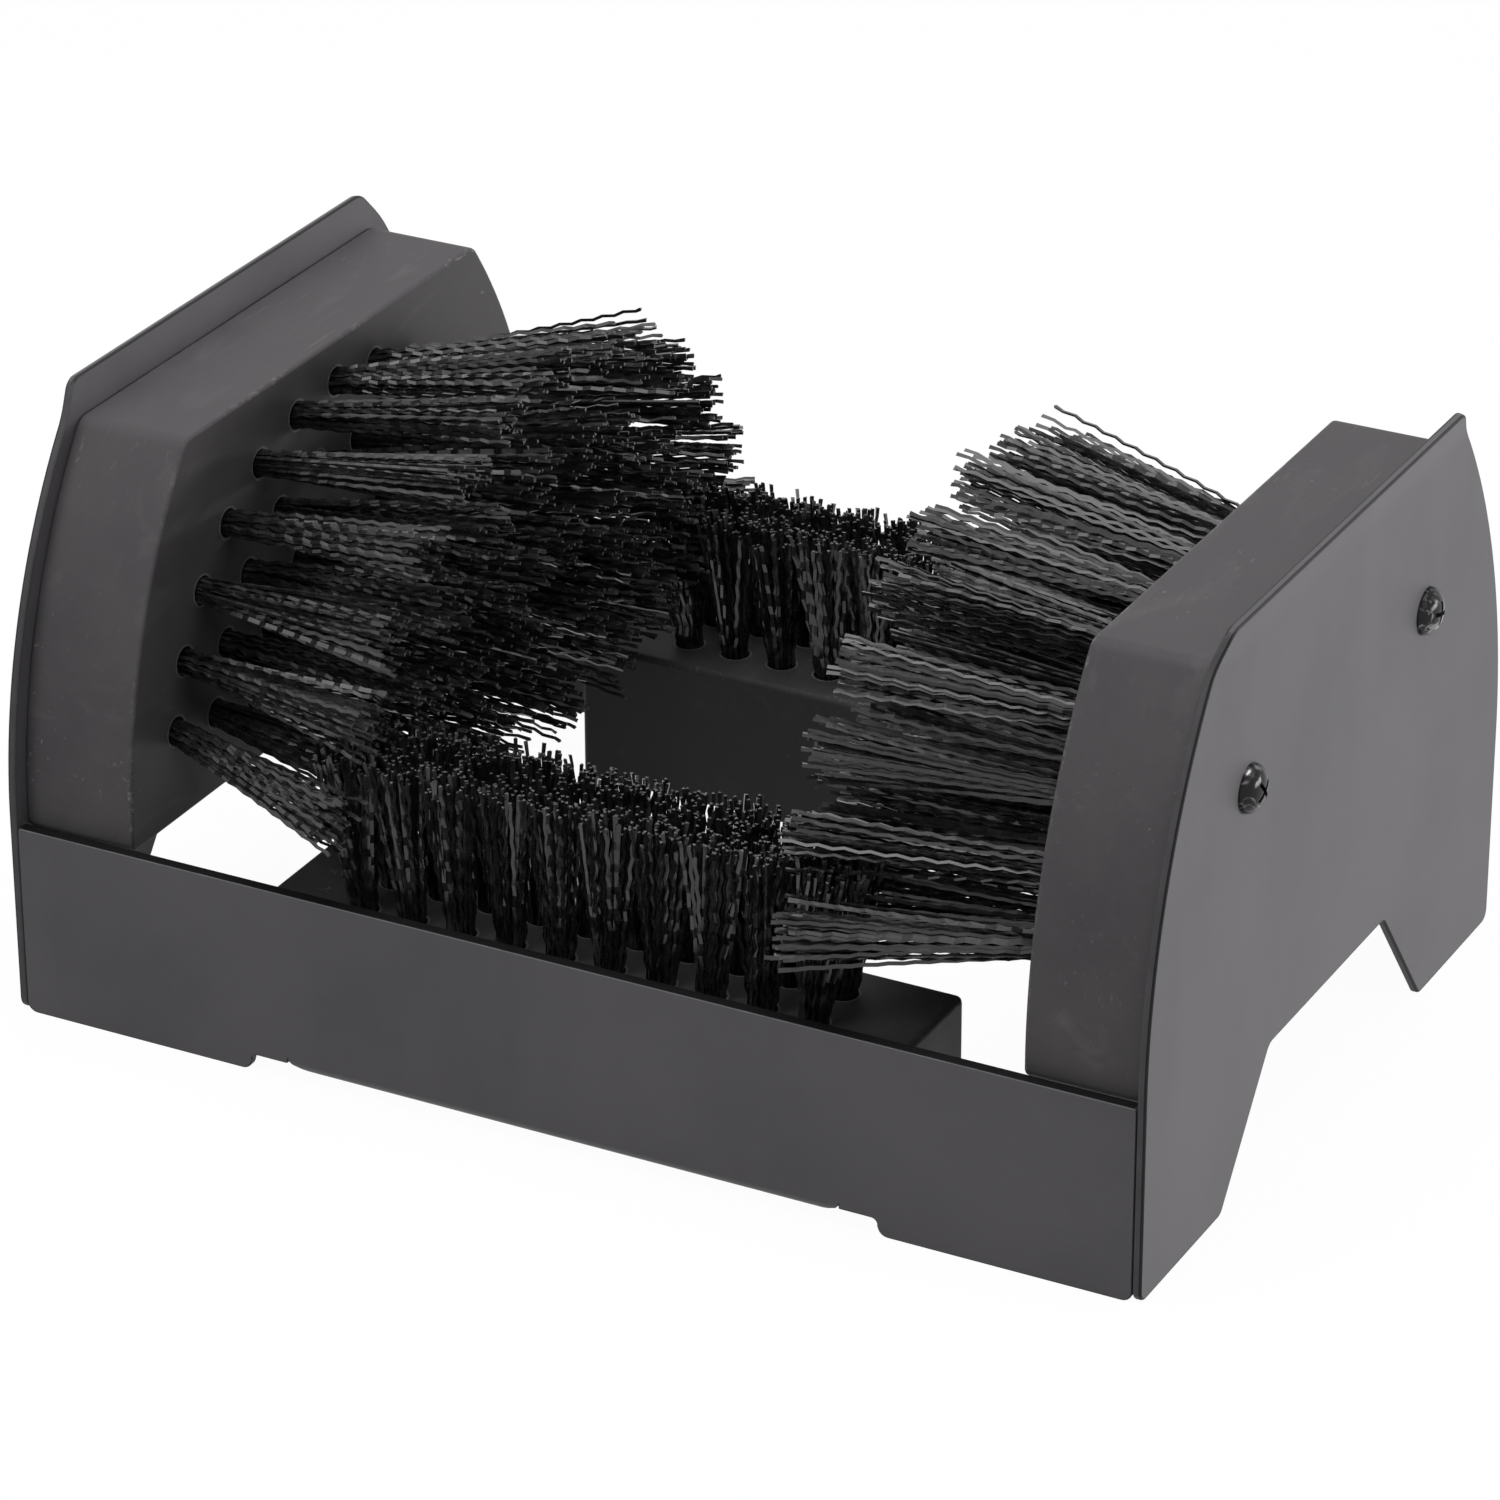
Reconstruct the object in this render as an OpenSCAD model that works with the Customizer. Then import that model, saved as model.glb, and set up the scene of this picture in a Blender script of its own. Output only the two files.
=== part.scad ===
// Boot scraper: a sheet steel frame that holds four brushes.
// Two upright brushes on the end plates clean the sides of a boot, two on the floor clean its sole.
// X runs along the frame, the front is towards -Y, and the feet stand on Z = 0.

/* [Frame] */
// Length over the outer faces of the end plates
frame_l = 300; // [280:1:330]
// Width of the end plates
frame_w = 208; // [200:1:225]
// Thickness of the coated sheet steel
sheet_t = 2.2; // [1.6:0.1:3]

/* [End plates] */
// Height of the end plates
plate_h = 153; // [148:1:162]
// Height up to which their sides stand straight
shoulder_z = 52; // [48:1:60]
// Radius of their curved sides
side_r = 156; // [150:1:200]
// Height of the lip that flares out along the top
flare_h = 9; // [6:0.5:12]
// Angle of the flared lip from upright
flare_angle = 14; // [6:1:25]
// Inside radius of every bend in the sheet
bend_r = 2.5; // [1.5:0.1:3]
// Radius of the end plates' outer corners
plate_corner_r = 3; // [1:0.5:5]
// Height of the notch between the two feet of an end plate
notch_h = 32.5; // [24:0.5:40]
// Width of the notch at the floor
notch_bottom_w = 119; // [100:1:130]
// Width of the notch at its top
notch_top_w = 68; // [50:1:90]

/* [Side plates] */
// Height of the side plates
side_h = 50; // [46:0.5:50]
// Length of each foot of a side plate
side_foot_l = 64; // [56:1:66]
// Length of the relief cut between a foot and the bottom flange
relief_l = 10; // [5:0.5:12]
// Height of the relief cut above the floor
relief_z = 5; // [4.5:0.1:8]
// Height of the bottom flange above the floor
flange_lift = 1.5; // [1:0.1:3]
// Depth of the bottom flange, over the outside of its bend
flange_d = 36; // [30:1:40]
// Radius of the small corners on the feet and plates
foot_corner_r = 2; // [0.5:0.1:2.2]
// Height of the weld bead in each inside corner
weld_h = 36; // [20:1:38]
// Leg length of the weld bead
weld_leg = 3; // [2:0.1:4]

/* [Brush blocks] */
// Thickness of an end block with its bristle slice
end_block_t = 30; // [28:0.5:36]
// Distance from an end plate's edge to the edge of its block
block_inset = 4.5; // [3:0.1:7]
// Gap between the top of a side plate and the underside of an end block
block_gap = 1; // [0.5:0.1:3]
// Radius of an end block's corners
block_corner_r = 5; // [3:0.5:8]
// Length of a floor block
floor_block_l = 170; // [150:1:176]
// Width of a floor block
floor_block_w = 40; // [34:0.5:44]
// Height of a floor block with its bristle slice
floor_block_h = 39; // [36:0.5:44]
// Thickness of the slice that carries the bristles
slice_t = 4; // [3:0.5:6]
// Radius of the rounded edge round each bristle face
edge_r = 2; // [1:0.1:2.5]

/* [Tufts] */
// Diameter of a tuft hole
tuft_hole_d = 7; // [6:0.1:8]
// Depth of a tuft hole below the slice
tuft_hole_depth = 11; // [8:0.5:12]
// Clearance round the folded butt of a tuft
tuft_clearance = 0.2; // [0.1:0.05:0.4]
// Distance between neighbouring tufts on an end block
end_tuft_pitch = 18; // [16:0.5:22]
// Arcs of tufts on an end block
tuft_arcs = 4; // [3:1:4]
// Distance from the outermost tufts to the side of an end block
tuft_side_edge = 20.5; // [19.5:0.5:25.5]
// Distance from the outer arc of tufts to the top of an end block
tuft_top_edge = 11; // [10:0.5:16]
// Height of the centre of the tuft arcs
arc_z = 60; // [60:0.5:62]
// Half of the angle that the tuft arcs span
arc_half_angle = 81; // [70:1:84]
// Tufts along one row of a floor block
floor_tufts = 10; // [8:1:10]
// Distance between neighbouring tufts along a row
floor_tuft_pitch = 13.3; // [12:0.1:16]
// Distance between the two rows of a floor block
floor_row_gap = 15; // [12:0.5:18]
// Length of the bristles on the end blocks
end_bristle_l = 66; // [50:1:80]
// Length of the bristles on the floor blocks
floor_bristle_l = 40; // [30:1:42]
// Share by which the end bristles spread out sideways between root and tip
end_fan_y = 0.23; // [0.1:0.01:0.4]
// Share by which the end bristles spread out upwards between root and tip
end_fan_z = 0.22; // [0.1:0.01:0.4]
// Share by which the floor bristles spread out between root and tip
floor_fan = 0.06; // [0:0.01:0.08]
// Radius of one strand at its root
strand_r = 1; // [0.6:0.05:1.1]
// Radius of one strand at its tip
strand_tip_r = 0.75; // [0.4:0.05:0.9]
// Width of the flat wire staple that holds a tuft
staple_w = 2; // [1:0.1:3]
// Thickness of the staple
staple_t = 0.8; // [0.4:0.1:1.2]

/* [Screws] */
// Distance between the two screws in an end plate
end_screw_spacing = 104; // [80:1:110]
// Height of the screws in an end plate
end_screw_z = 107; // [90:1:115]
// Diameter of a pan head
pan_head_d = 12; // [10:0.5:14]
// Height of a pan head
pan_head_h = 4; // [3:0.1:5]
// Diameter of the end screws
end_screw_d = 6; // [4:0.1:6]
// Length of the end screws under the head
end_screw_l = 16; // [12:0.5:16]
// Distance between the two screws under a floor block
floor_screw_spacing = 110; // [80:1:130]
// Distance from a side plate's outer face to the floor screws
floor_screw_y = 20; // [16:0.5:24]
// Diameter of the countersunk head of a floor screw
flat_head_d = 8; // [7:0.1:9]
// Diameter of the floor screws
floor_screw_d = 3.5; // [3:0.1:4]
// Length of the floor screws over the head
floor_screw_l = 16; // [12:0.5:16]
// Clearance of a screw in the sheet
screw_clearance = 0.3; // [0.2:0.05:0.5]

/* [Hidden] */

$fn = 48;
// Segments in a rounded corner of an outline
corner_steps = 4;
// Segments in the curved side of an outline
side_steps = 12;
// Far enough to cut through anything
beyond = 20;
// Radial play of a screw in its pilot hole
thread_play = 0.1;
// Play round a countersunk head
head_play = 0.05;
// How far a strand is rooted in its slice
root_depth = 1.5;
// Strands in one tuft and the share of the hole's radius at which they stand
strands_per_tuft = 4;
strand_ring = 0.52;
// How much further apart the strands of one tuft are at their tips
end_splay = 2.6;
floor_splay = 2;
// Share of the spread that a strand has reached half way up
mid_spread = 0.42;
// Sides of a strand
strand_sides = 3;
// Room that the end bristles leave round the floor bristles
brush_room = 6;
// Height at which the end bristles neither rise nor fall
level_z = 71;
// Height of the innermost arc of tufts above its centre
inner_rise = 19;
// Height of the middle tuft of an end block above the centre of the arcs
middle_lift = 2;
// Smallest radius that a corner keeps when an outline is drawn in
least_corner_r = 0.5;
// Shares of a pan head's height that its upright rim and its cross recess take
rim_share = 0.3;
recess_depth_share = 0.55;
// Width of a cross recess as a share of the head, and how many of its arms make up that width
recess_share = 0.52;
recess_arms = 4.5;
// Depth of the cross recess in a countersunk head
flat_recess_depth = 1;

half_l = frame_l / 2;
half_w = frame_w / 2;
plate_inner_x = half_l - sheet_t;
lip_z = plate_h - flare_h;
side_l = 2 * plate_inner_x;
flange_l = side_l - 2 * (side_foot_l + relief_l);
flange_top = flange_lift + sheet_t;
block_z = side_h + block_gap;
body_t = end_block_t - slice_t;
end_face_x = plate_inner_x - end_block_t;
arc_half_w = half_w - block_inset - tuft_side_edge;
arc_rise = lip_z - tuft_top_edge - arc_z;
arc_gap = (arc_rise - inner_rise) / (tuft_arcs - 1);
floor_top = flange_top + floor_block_h;
floor_tip_z = floor_top + floor_bristle_l;
floor_block_y = half_w - sheet_t - floor_block_w / 2;
butt_r = tuft_hole_d / 2 - tuft_clearance;
butt_l = tuft_hole_depth - staple_t;
staple_l = 2 * butt_r;

// Points of an outline whose corners [x, y, radius] are rounded
function rounded(corners) = [
    for (i = [0 : len(corners) - 1])
        let (n = len(corners))
        each corner_arc(corners[(i + n - 1) % n], corners[i], corners[(i + 1) % n])
];

// One rounded corner at b, between the neighbours a and c
function corner_arc(a, b, c) =
    let (
        to_a = unit([a.x - b.x, a.y - b.y]),
        to_c = unit([c.x - b.x, c.y - b.y]),
        half_turn = acos(max(-1, min(1, to_a * to_c))) / 2,
        radius = b[2]
    )
    radius <= 0 || half_turn > 89 ? [[b.x, b.y]] :
    let (
        tangent = radius / tan(half_turn),
        start = [b.x, b.y] + tangent * to_a,
        centre = [b.x, b.y] + radius / sin(half_turn) * unit(to_a + to_c),
        spoke = start - centre,
        sweep = (180 - 2 * half_turn) * sign(to_c.x * to_a.y - to_c.y * to_a.x)
    )
    [for (k = [0 : corner_steps]) centre + turned(spoke, sweep * k / corner_steps)];

function unit(v) = v / norm(v);

function turned(v, a) = [v.x * cos(a) - v.y * sin(a), v.x * sin(a) + v.y * cos(a)];

// Half width of an end outline at height z, set in from the plate's edge
function half_width(z, inset) =
    z <= shoulder_z ? half_w - inset :
    half_w - side_r + sqrt(pow(side_r - inset, 2) - pow(z - shoulder_z, 2));

// Points up one curved side, from the height at which it starts to just below the top
function side_points(start, top, inset) = [
    for (k = [0 : side_steps - 1])
        let (z = start + (top - start) * k / side_steps)
        [half_width(z, inset), z, 0]
];

function mirrored(points) = [
    for (i = [len(points) - 1 : -1 : 0]) [-points[i].x, points[i].y, points[i][2]]
];

// Outline of an end plate: right foot, curved side and top corner, then the same mirrored
function plate_outline() =
    let (half = concat(
        [
            [notch_top_w / 2, notch_h, foot_corner_r],
            [notch_bottom_w / 2, 0, foot_corner_r],
            [half_w, 0, plate_corner_r]
        ],
        side_points(shoulder_z, plate_h, 0),
        [[half_width(plate_h, 0), plate_h, plate_corner_r]]
    ))
    rounded(concat(half, mirrored(half)));

// Outline of an end block, drawn in by an extra amount where its edge is rounded
function block_outline(extra) =
    let (
        inset = block_inset + extra,
        top = lip_z - extra,
        low = block_z + extra,
        corner = max(least_corner_r, block_corner_r - extra),
        half = concat(
            [[half_width(low, inset), low, corner]],
            side_points(max(shoulder_z, low + 2 * corner), top, inset),
            [[half_width(top, inset), top, corner]]
        )
    )
    rounded(concat(half, mirrored(half)));

// Section of an end plate's sheet, from its inner face outwards, with the flared lip
function lip_section() =
    let (
        centre = [sheet_t + bend_r, lip_z],
        inner = [
            for (k = [0 : corner_steps])
                let (a = flare_angle * k / corner_steps)
                centre + (bend_r + sheet_t) * [-cos(a), sin(a)]
        ],
        outer = [
            for (k = [corner_steps : -1 : 0])
                let (a = flare_angle * k / corner_steps)
                centre + bend_r * [-cos(a), sin(a)]
        ],
        along = [sin(flare_angle), cos(flare_angle)],
        across = [cos(flare_angle), -sin(flare_angle)],
        rise = (plate_h - inner[corner_steps].y) / along.y,
        tip = inner[corner_steps] + rise * along
    )
    concat([[0, 0]], inner, [tip, tip + sheet_t * across], outer, [[sheet_t, 0]]);

// Places of the tufts on an end block, on nested arcs round a single middle tuft
function arc_tufts(a, b) =
    let (
        run = arc_half_angle / 90 * PI * sqrt((a * a + b * b) / 2),
        steps = max(2, round(run / end_tuft_pitch))
    )
    [
        for (i = [0 : steps])
            let (t = arc_half_angle * (2 * i / steps - 1))
            [a * sin(t), arc_z + b * cos(t)]
    ];

end_tufts = concat(
    [
        for (k = [0 : tuft_arcs - 1])
            each arc_tufts(arc_half_w - k * arc_gap, arc_rise - k * arc_gap)
    ],
    [[0, arc_z + middle_lift]]
);

floor_tuft_places = [
    for (i = [0 : floor_tufts - 1], side = [-1, 1])
        [(i - (floor_tufts - 1) / 2) * floor_tuft_pitch, side * floor_row_gap / 2]
];

// Where the strands of one tuft stand, round the middle of its hole
strand_offsets = [
    for (i = [0 : strands_per_tuft - 1])
        let (a = 360 * (i + 0.5) / strands_per_tuft)
        strand_ring * tuft_hole_d / 2 * [cos(a), sin(a)]
];

// An end strand as [root, sideways shift at its tip, reach from the face]
function end_strand(tuft, offset) =
    let (
        root = tuft + offset,
        fan = [end_fan_y * tuft.x, end_fan_z * (tuft.y - level_z)],
        shift = fan + (end_splay - 1) * offset,
        reach = sqrt(pow(end_bristle_l, 2) - pow(norm(shift), 2)),
        stop = end_face_x - (floor_tufts - 1) / 2 * floor_tuft_pitch - tuft_hole_d / 2 - brush_room,
        there = root + shift * min(1, stop / reach),
        out = abs(there.x),
        low = floor_block_y - floor_row_gap / 2 - tuft_hole_d - brush_room,
        high = floor_block_y + floor_row_gap / 2 + tuft_hole_d + brush_room / 2,
        meets = there.y < floor_tip_z + brush_room / 2 && out > low && out < high
    )
    meets ? [root, shift * stop / reach, stop] : [root, shift, reach];

function floor_strand(tuft, offset) =
    [tuft + offset, floor_fan * tuft + (floor_splay - 1) * offset, floor_bristle_l];

// Three rings of a strand: in the slice, half way up and at the tip
function strand_points(s) =
    let (
        rings = [
            [s[0], -root_depth, strand_r],
            [s[0] + mid_spread * s[1], s[2] / 2, (strand_r + strand_tip_r) / 2],
            [s[0] + s[1], s[2], strand_tip_r]
        ]
    )
    [
        for (ring = rings, k = [0 : strand_sides - 1])
            let (a = 360 * k / strand_sides)
            [ring[0].x + ring[2] * cos(a), ring[0].y + ring[2] * sin(a), ring[1]]
    ];

// Triangles of one strand whose points start at index o
function strand_faces(o) =
    let (n = strand_sides)
    concat(
        [for (k = [1 : n - 2]) [o, o + k, o + k + 1]],
        [
            for (level = [0, 1], k = [0 : n - 1])
                let (a = o + level * n + k, b = o + level * n + (k + 1) % n)
                each [[a, a + n, b + n], [a, b + n, b]]
        ],
        [for (k = [1 : n - 2]) [o + 2 * n, o + 2 * n + k + 1, o + 2 * n + k]]
    );

// Stands a profile that is drawn as [y, z] upright and runs it along X
module along_x() {
    multmatrix([[0, 0, 1, 0], [1, 0, 0, 0], [0, 1, 0, 0], [0, 0, 0, 1]]) children();
}

// The same piece at both ends, for the side that is named
module at_end(side) {
    mirror([side < 0 ? 1 : 0, 0, 0]) children();
}

// The same piece at front and rear; as drawn, it is the rear one
module at_side(side) {
    mirror([0, side < 0 ? 1 : 0, 0]) children();
}

module at_end_screws() {
    for (side = [-1, 1]) translate([half_l, side * end_screw_spacing / 2, end_screw_z]) children();
}

module at_floor_screws() {
    for (side = [-1, 1])
        translate([side * floor_screw_spacing / 2, half_w - floor_screw_y, flange_lift]) children();
}

module end_plate() {
    color("#4c4a4d") difference() {
        intersection() {
            translate([plate_inner_x, 0, 0]) along_x() linear_extrude(beyond) polygon(plate_outline());
            translate([plate_inner_x, frame_w, 0]) rotate([90, 0, 0]) linear_extrude(2 * frame_w)
                polygon(lip_section());
        }
        at_end_screws() rotate([0, 90, 0])
            cylinder(d = end_screw_d + 2 * screw_clearance, h = beyond, center = true);
    }
}

// The upright wall of a side plate, with a foot at each end
module side_wall() {
    wall_z = flange_top + bend_r;
    relief_x = flange_l / 2;
    foot_x = side_l / 2 - side_foot_l;
    half = [
        [relief_x, wall_z, 0],
        [relief_x, relief_z, 0],
        [foot_x, relief_z, foot_corner_r],
        [foot_x, 0, foot_corner_r],
        [side_l / 2, 0, 0],
        [side_l / 2, side_h, foot_corner_r / 2]
    ];
    translate([0, half_w, 0]) rotate([90, 0, 0]) linear_extrude(sheet_t)
        polygon(rounded(concat(half, mirrored(half))));
}

// The bend and the flange that the floor block stands on
module bottom_flange() {
    arc = [for (k = [0 : corner_steps]) 90 * k / corner_steps];
    outer = [for (a = arc) (bend_r + sheet_t) * [cos(a), -sin(a)]];
    inner = [for (k = [corner_steps : -1 : 0]) bend_r * [cos(arc[k]), -sin(arc[k])]];
    edge = bend_r + sheet_t - flange_d;
    translate([-flange_l / 2, half_w - sheet_t - bend_r, flange_top + bend_r])
        along_x() linear_extrude(flange_l)
            polygon(concat(outer, [[edge, -bend_r - sheet_t], [edge, -bend_r]], inner));
}

module side_plate() {
    color("#454346") difference() {
        union() {
            side_wall();
            bottom_flange();
        }
        at_floor_screws() {
            flat_head(head_play);
            cylinder(d = floor_screw_d + 2 * screw_clearance, h = beyond, center = true);
        }
    }
}

// Convex weld beads in the four inside corners of the frame
module corner_welds() {
    bead = [for (k = [0 : corner_steps]) let (a = 90 * k / corner_steps) -weld_leg * [cos(a), sin(a)]];
    color("#3c3a3d") for (end = [-1, 1], side = [-1, 1])
        at_end(end) at_side(side)
            translate([plate_inner_x, half_w - sheet_t, (side_h - weld_h) / 2])
                linear_extrude(weld_h) polygon(concat([[0, 0]], bead));
}

// Body of an end block behind the slice, drilled for tufts and screws
module end_block() {
    color("#39373a") difference() {
        translate([plate_inner_x - body_t, 0, 0]) along_x() linear_extrude(body_t)
            polygon(block_outline(0));
        for (t = end_tufts) translate([plate_inner_x - body_t, t.x, t.y]) rotate([0, 90, 0])
            cylinder(d = tuft_hole_d, h = 2 * tuft_hole_depth, center = true);
        at_end_screws() rotate([0, -90, 0])
            cylinder(d = end_screw_d + 2 * thread_play, h = end_screw_l + thread_play);
    }
}

module floor_block() {
    low = flange_top;
    top = floor_top - slice_t;
    inner = floor_block_y - floor_block_w / 2;
    outer = floor_block_y + floor_block_w / 2;
    color("#39373a") difference() {
        translate([-floor_block_l / 2, 0, 0]) along_x() linear_extrude(floor_block_l) polygon(rounded([
            [outer, low, bend_r + foot_corner_r / 2],
            [outer, top, 0],
            [inner, top, 0],
            [inner, low, edge_r]
        ]));
        for (t = floor_tuft_places) translate([t.x, floor_block_y + t.y, top])
            cylinder(d = tuft_hole_d, h = 2 * tuft_hole_depth, center = true);
        at_floor_screws()
            cylinder(d = floor_screw_d + 2 * thread_play, h = floor_screw_l + thread_play);
    }
}

// A slice with a rounded rim, whose layers are the children drawn in by each inset
module end_slice() {
    hull() {
        linear_extrude(slice_t - edge_r) polygon(block_outline(0));
        for (a = [30, 60, 90])
            linear_extrude(slice_t - edge_r + edge_r * sin(a))
                polygon(block_outline(edge_r * (1 - cos(a))));
    }
}

module floor_slice() {
    hull() for (a = [0, 30, 60, 90]) {
        in = 2 * edge_r * (1 - cos(a));
        layer_h = slice_t - edge_r + edge_r * sin(a);
        translate([0, 0, layer_h / 2])
            cube([floor_block_l - in, floor_block_w - in, layer_h], center = true);
    }
}

// All the strands of one brush, standing on Z = 0 and reaching up
module strands(list) {
    polyhedron(
        points = [for (s = list) each strand_points(s)],
        faces = [for (i = [0 : len(list) - 1]) each strand_faces(3 * strand_sides * i)]
    );
}

// The folded butts of the tufts, which fill the holes behind the slice
module butts(places) {
    for (t = places) translate([t.x, t.y, -butt_l]) cylinder(r = butt_r, h = butt_l);
}

module end_bristles() {
    color("#1f1e20") translate([plate_inner_x - body_t, 0, 0]) mirror([1, 0, 0]) along_x() {
        end_slice();
        butts(end_tufts);
        translate([0, 0, slice_t])
            strands([for (t = end_tufts, o = strand_offsets) end_strand(t, o)]);
    }
}

module floor_bristles() {
    color("#1f1e20") translate([0, floor_block_y, floor_top - slice_t]) {
        floor_slice();
        butts(floor_tuft_places);
        translate([0, 0, slice_t])
            strands([for (t = floor_tuft_places, o = strand_offsets) floor_strand(t, o)]);
    }
}

// Flat wire staples at the bottom of the tuft holes, below the butts
module staples(places) {
    for (t = places) translate([t.x, t.y, -tuft_hole_depth + staple_t / 2])
        cube([staple_l, staple_w, staple_t], center = true);
}

module end_staples() {
    color("#8c8f93") translate([plate_inner_x - body_t, 0, 0]) mirror([1, 0, 0]) along_x()
        staples(end_tufts);
}

module floor_staples() {
    color("#8c8f93") translate([0, floor_block_y, floor_top - slice_t]) staples(floor_tuft_places);
}

// A cross recess, cut downwards from Z = 0
module cross_recess(size, depth) {
    for (turn = [0, 90]) rotate([0, 0, turn])
        cube([size, size / recess_arms, 2 * depth], center = true);
}

// A pan head screw along -Z, with its head above Z = 0
module pan_screw() {
    rim = pan_head_h * rim_share;
    dome = [for (a = [0 : 15 : 90]) [pan_head_d / 2 * cos(a), rim + (pan_head_h - rim) * sin(a)]];
    difference() {
        union() {
            rotate_extrude() polygon(concat([[0, 0], [pan_head_d / 2, 0]], dome));
            translate([0, 0, -end_screw_l]) cylinder(d = end_screw_d, h = end_screw_l);
        }
        translate([0, 0, pan_head_h])
            cross_recess(pan_head_d * recess_share, pan_head_h * recess_depth_share);
    }
}

// A countersunk head whose flat face lies on Z = 0
module flat_head(play) {
    head_h = (flat_head_d - floor_screw_d) / 2;
    cylinder(d1 = flat_head_d + 2 * play, d2 = floor_screw_d + 2 * play, h = head_h);
}

module floor_screw() {
    difference() {
        union() {
            flat_head(0);
            cylinder(d = floor_screw_d, h = floor_screw_l);
        }
        cross_recess(flat_head_d * recess_share, flat_recess_depth);
    }
}

module end_screws() {
    color("#18181a") at_end_screws() rotate([0, 90, 0]) pan_screw();
}

module floor_screws() {
    color("#18181a") at_floor_screws() floor_screw();
}

at_end(-1) end_plate();  // left_end_plate
at_end(1) end_plate();  // right_end_plate
at_side(-1) side_plate();  // front_side_plate
at_side(1) side_plate();  // rear_side_plate
corner_welds();
at_end(-1) end_block();  // left_end_block
at_end(1) end_block();  // right_end_block
at_side(-1) floor_block();  // front_floor_block
at_side(1) floor_block();  // rear_floor_block
at_end(-1) end_bristles();  // left_end_bristles
at_end(1) end_bristles();  // right_end_bristles
at_side(-1) floor_bristles();  // front_floor_bristles
at_side(1) floor_bristles();  // rear_floor_bristles
at_end(-1) end_staples();  // left_end_staples
at_end(1) end_staples();  // right_end_staples
at_side(-1) floor_staples();  // front_floor_staples
at_side(1) floor_staples();  // rear_floor_staples
at_end(-1) end_screws();  // left_end_screws
at_end(1) end_screws();  // right_end_screws
at_side(-1) floor_screws();  // front_floor_screws
at_side(1) floor_screws();  // rear_floor_screws
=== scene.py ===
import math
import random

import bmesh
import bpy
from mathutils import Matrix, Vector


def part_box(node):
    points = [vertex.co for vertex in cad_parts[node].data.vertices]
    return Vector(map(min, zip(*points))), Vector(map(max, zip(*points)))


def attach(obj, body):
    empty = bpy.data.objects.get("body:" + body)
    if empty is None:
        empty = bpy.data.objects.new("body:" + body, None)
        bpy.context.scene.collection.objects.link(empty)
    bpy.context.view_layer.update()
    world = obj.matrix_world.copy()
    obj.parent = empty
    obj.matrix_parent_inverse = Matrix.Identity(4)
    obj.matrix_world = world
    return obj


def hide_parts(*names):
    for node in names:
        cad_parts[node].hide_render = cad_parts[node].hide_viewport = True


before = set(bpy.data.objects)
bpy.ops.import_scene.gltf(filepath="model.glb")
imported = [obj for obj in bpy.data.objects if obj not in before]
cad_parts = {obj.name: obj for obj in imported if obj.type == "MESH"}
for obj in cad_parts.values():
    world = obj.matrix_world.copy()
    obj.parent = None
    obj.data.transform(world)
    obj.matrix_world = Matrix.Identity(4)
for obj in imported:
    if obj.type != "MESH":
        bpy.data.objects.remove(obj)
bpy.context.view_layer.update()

# %% [markdown]
# The real object is a boot scraper. Two end plates and two side plates of powder-coated sheet
# steel are welded into a frame, and four dark blocks full of black bristle tufts are screwed to
# it. The frame that was just loaded holds every piece at its real place and size, in metres, so
# this lesson only makes the looks: rounded sheet edges, drilled blocks, crimped bristles and
# finishes.

MM = 0.001
SAME_PLACE = 1e-6
MIDDLE = Vector((0, 0, 0))
SMOOTH_BELOW = 35


def mesh_of(bm, name):
    """Puts a bmesh into a mesh, which can be copied or joined to another bmesh."""
    mesh = bpy.data.meshes.new(name)
    bm.to_mesh(mesh)
    bm.free()
    return mesh


def finish_piece(bm, name, finishes, replaces=(), smooth_angle=SMOOTH_BELOW):
    """Turns a bmesh into a piece of the object. Its faces name its finishes by their number."""
    mesh = mesh_of(bm, name)
    if smooth_angle:
        mesh.shade_smooth()
        mesh.set_sharp_from_angle(angle=math.radians(smooth_angle))
    piece = bpy.data.objects.new(name, mesh)
    bpy.context.scene.collection.objects.link(piece)
    for finish in finishes:
        piece.data.materials.append(finish)
    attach(piece, "root")
    if replaces:
        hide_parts(*replaces)
    print(name, "has", len(mesh.polygons), "faces")
    return piece


def even_shading(piece):
    """Lets the broad faces keep their direction, so that only the rounded edges shade softly."""
    piece.modifiers.new("broad faces stay flat", "WEIGHTED_NORMAL").keep_sharp = True


def turned_to(bm, side):
    """What is made for the right or the rear is turned half round for the left or the front."""
    if side < 0:
        bmesh.ops.rotate(bm, verts=bm.verts, cent=MIDDLE, matrix=Matrix.Rotation(math.pi, 3, "Z"))


def full_turn(bm, axis, steps):
    """Turns a profile once round an axis through the middle, as on a lathe."""
    bmesh.ops.spin(bm, geom=bm.verts[:] + bm.edges[:], cent=MIDDLE, axis=axis, dvec=(0, 0, 0),
                   angle=2 * math.pi, steps=steps, use_merge=True)
    bmesh.ops.remove_doubles(bm, verts=bm.verts, dist=SAME_PLACE)
    bmesh.ops.recalc_face_normals(bm, faces=bm.faces)


def bar(size, middle):
    """A bmesh of a plain bar."""
    bm = bmesh.new()
    shape = Matrix.Translation(middle) @ Matrix.Diagonal((*size, 1))
    bmesh.ops.create_cube(bm, size=1, matrix=shape)
    return bm


def chain(bm, points):
    """A few vertices joined one after the other, as the start of an outline."""
    verts = [bm.verts.new(p) for p in points]
    for a, b in zip(verts, verts[1:]):
        bm.edges.new((a, b))
    return verts


def vertex_at(bm, point):
    """The vertex that lies nearest to a known point."""
    return min(bm.verts, key=lambda v: (v.co - Vector(point)).length)


def round_corners(bm, verts, reach):
    """Rounds corners of a flat outline, each from a distance along its two edges."""
    bmesh.ops.bevel(bm, geom=verts, offset=reach, offset_type="OFFSET", segments=5,
                    profile=0.5, affect="VERTICES", material=-1, clamp_overlap=True)


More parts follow.
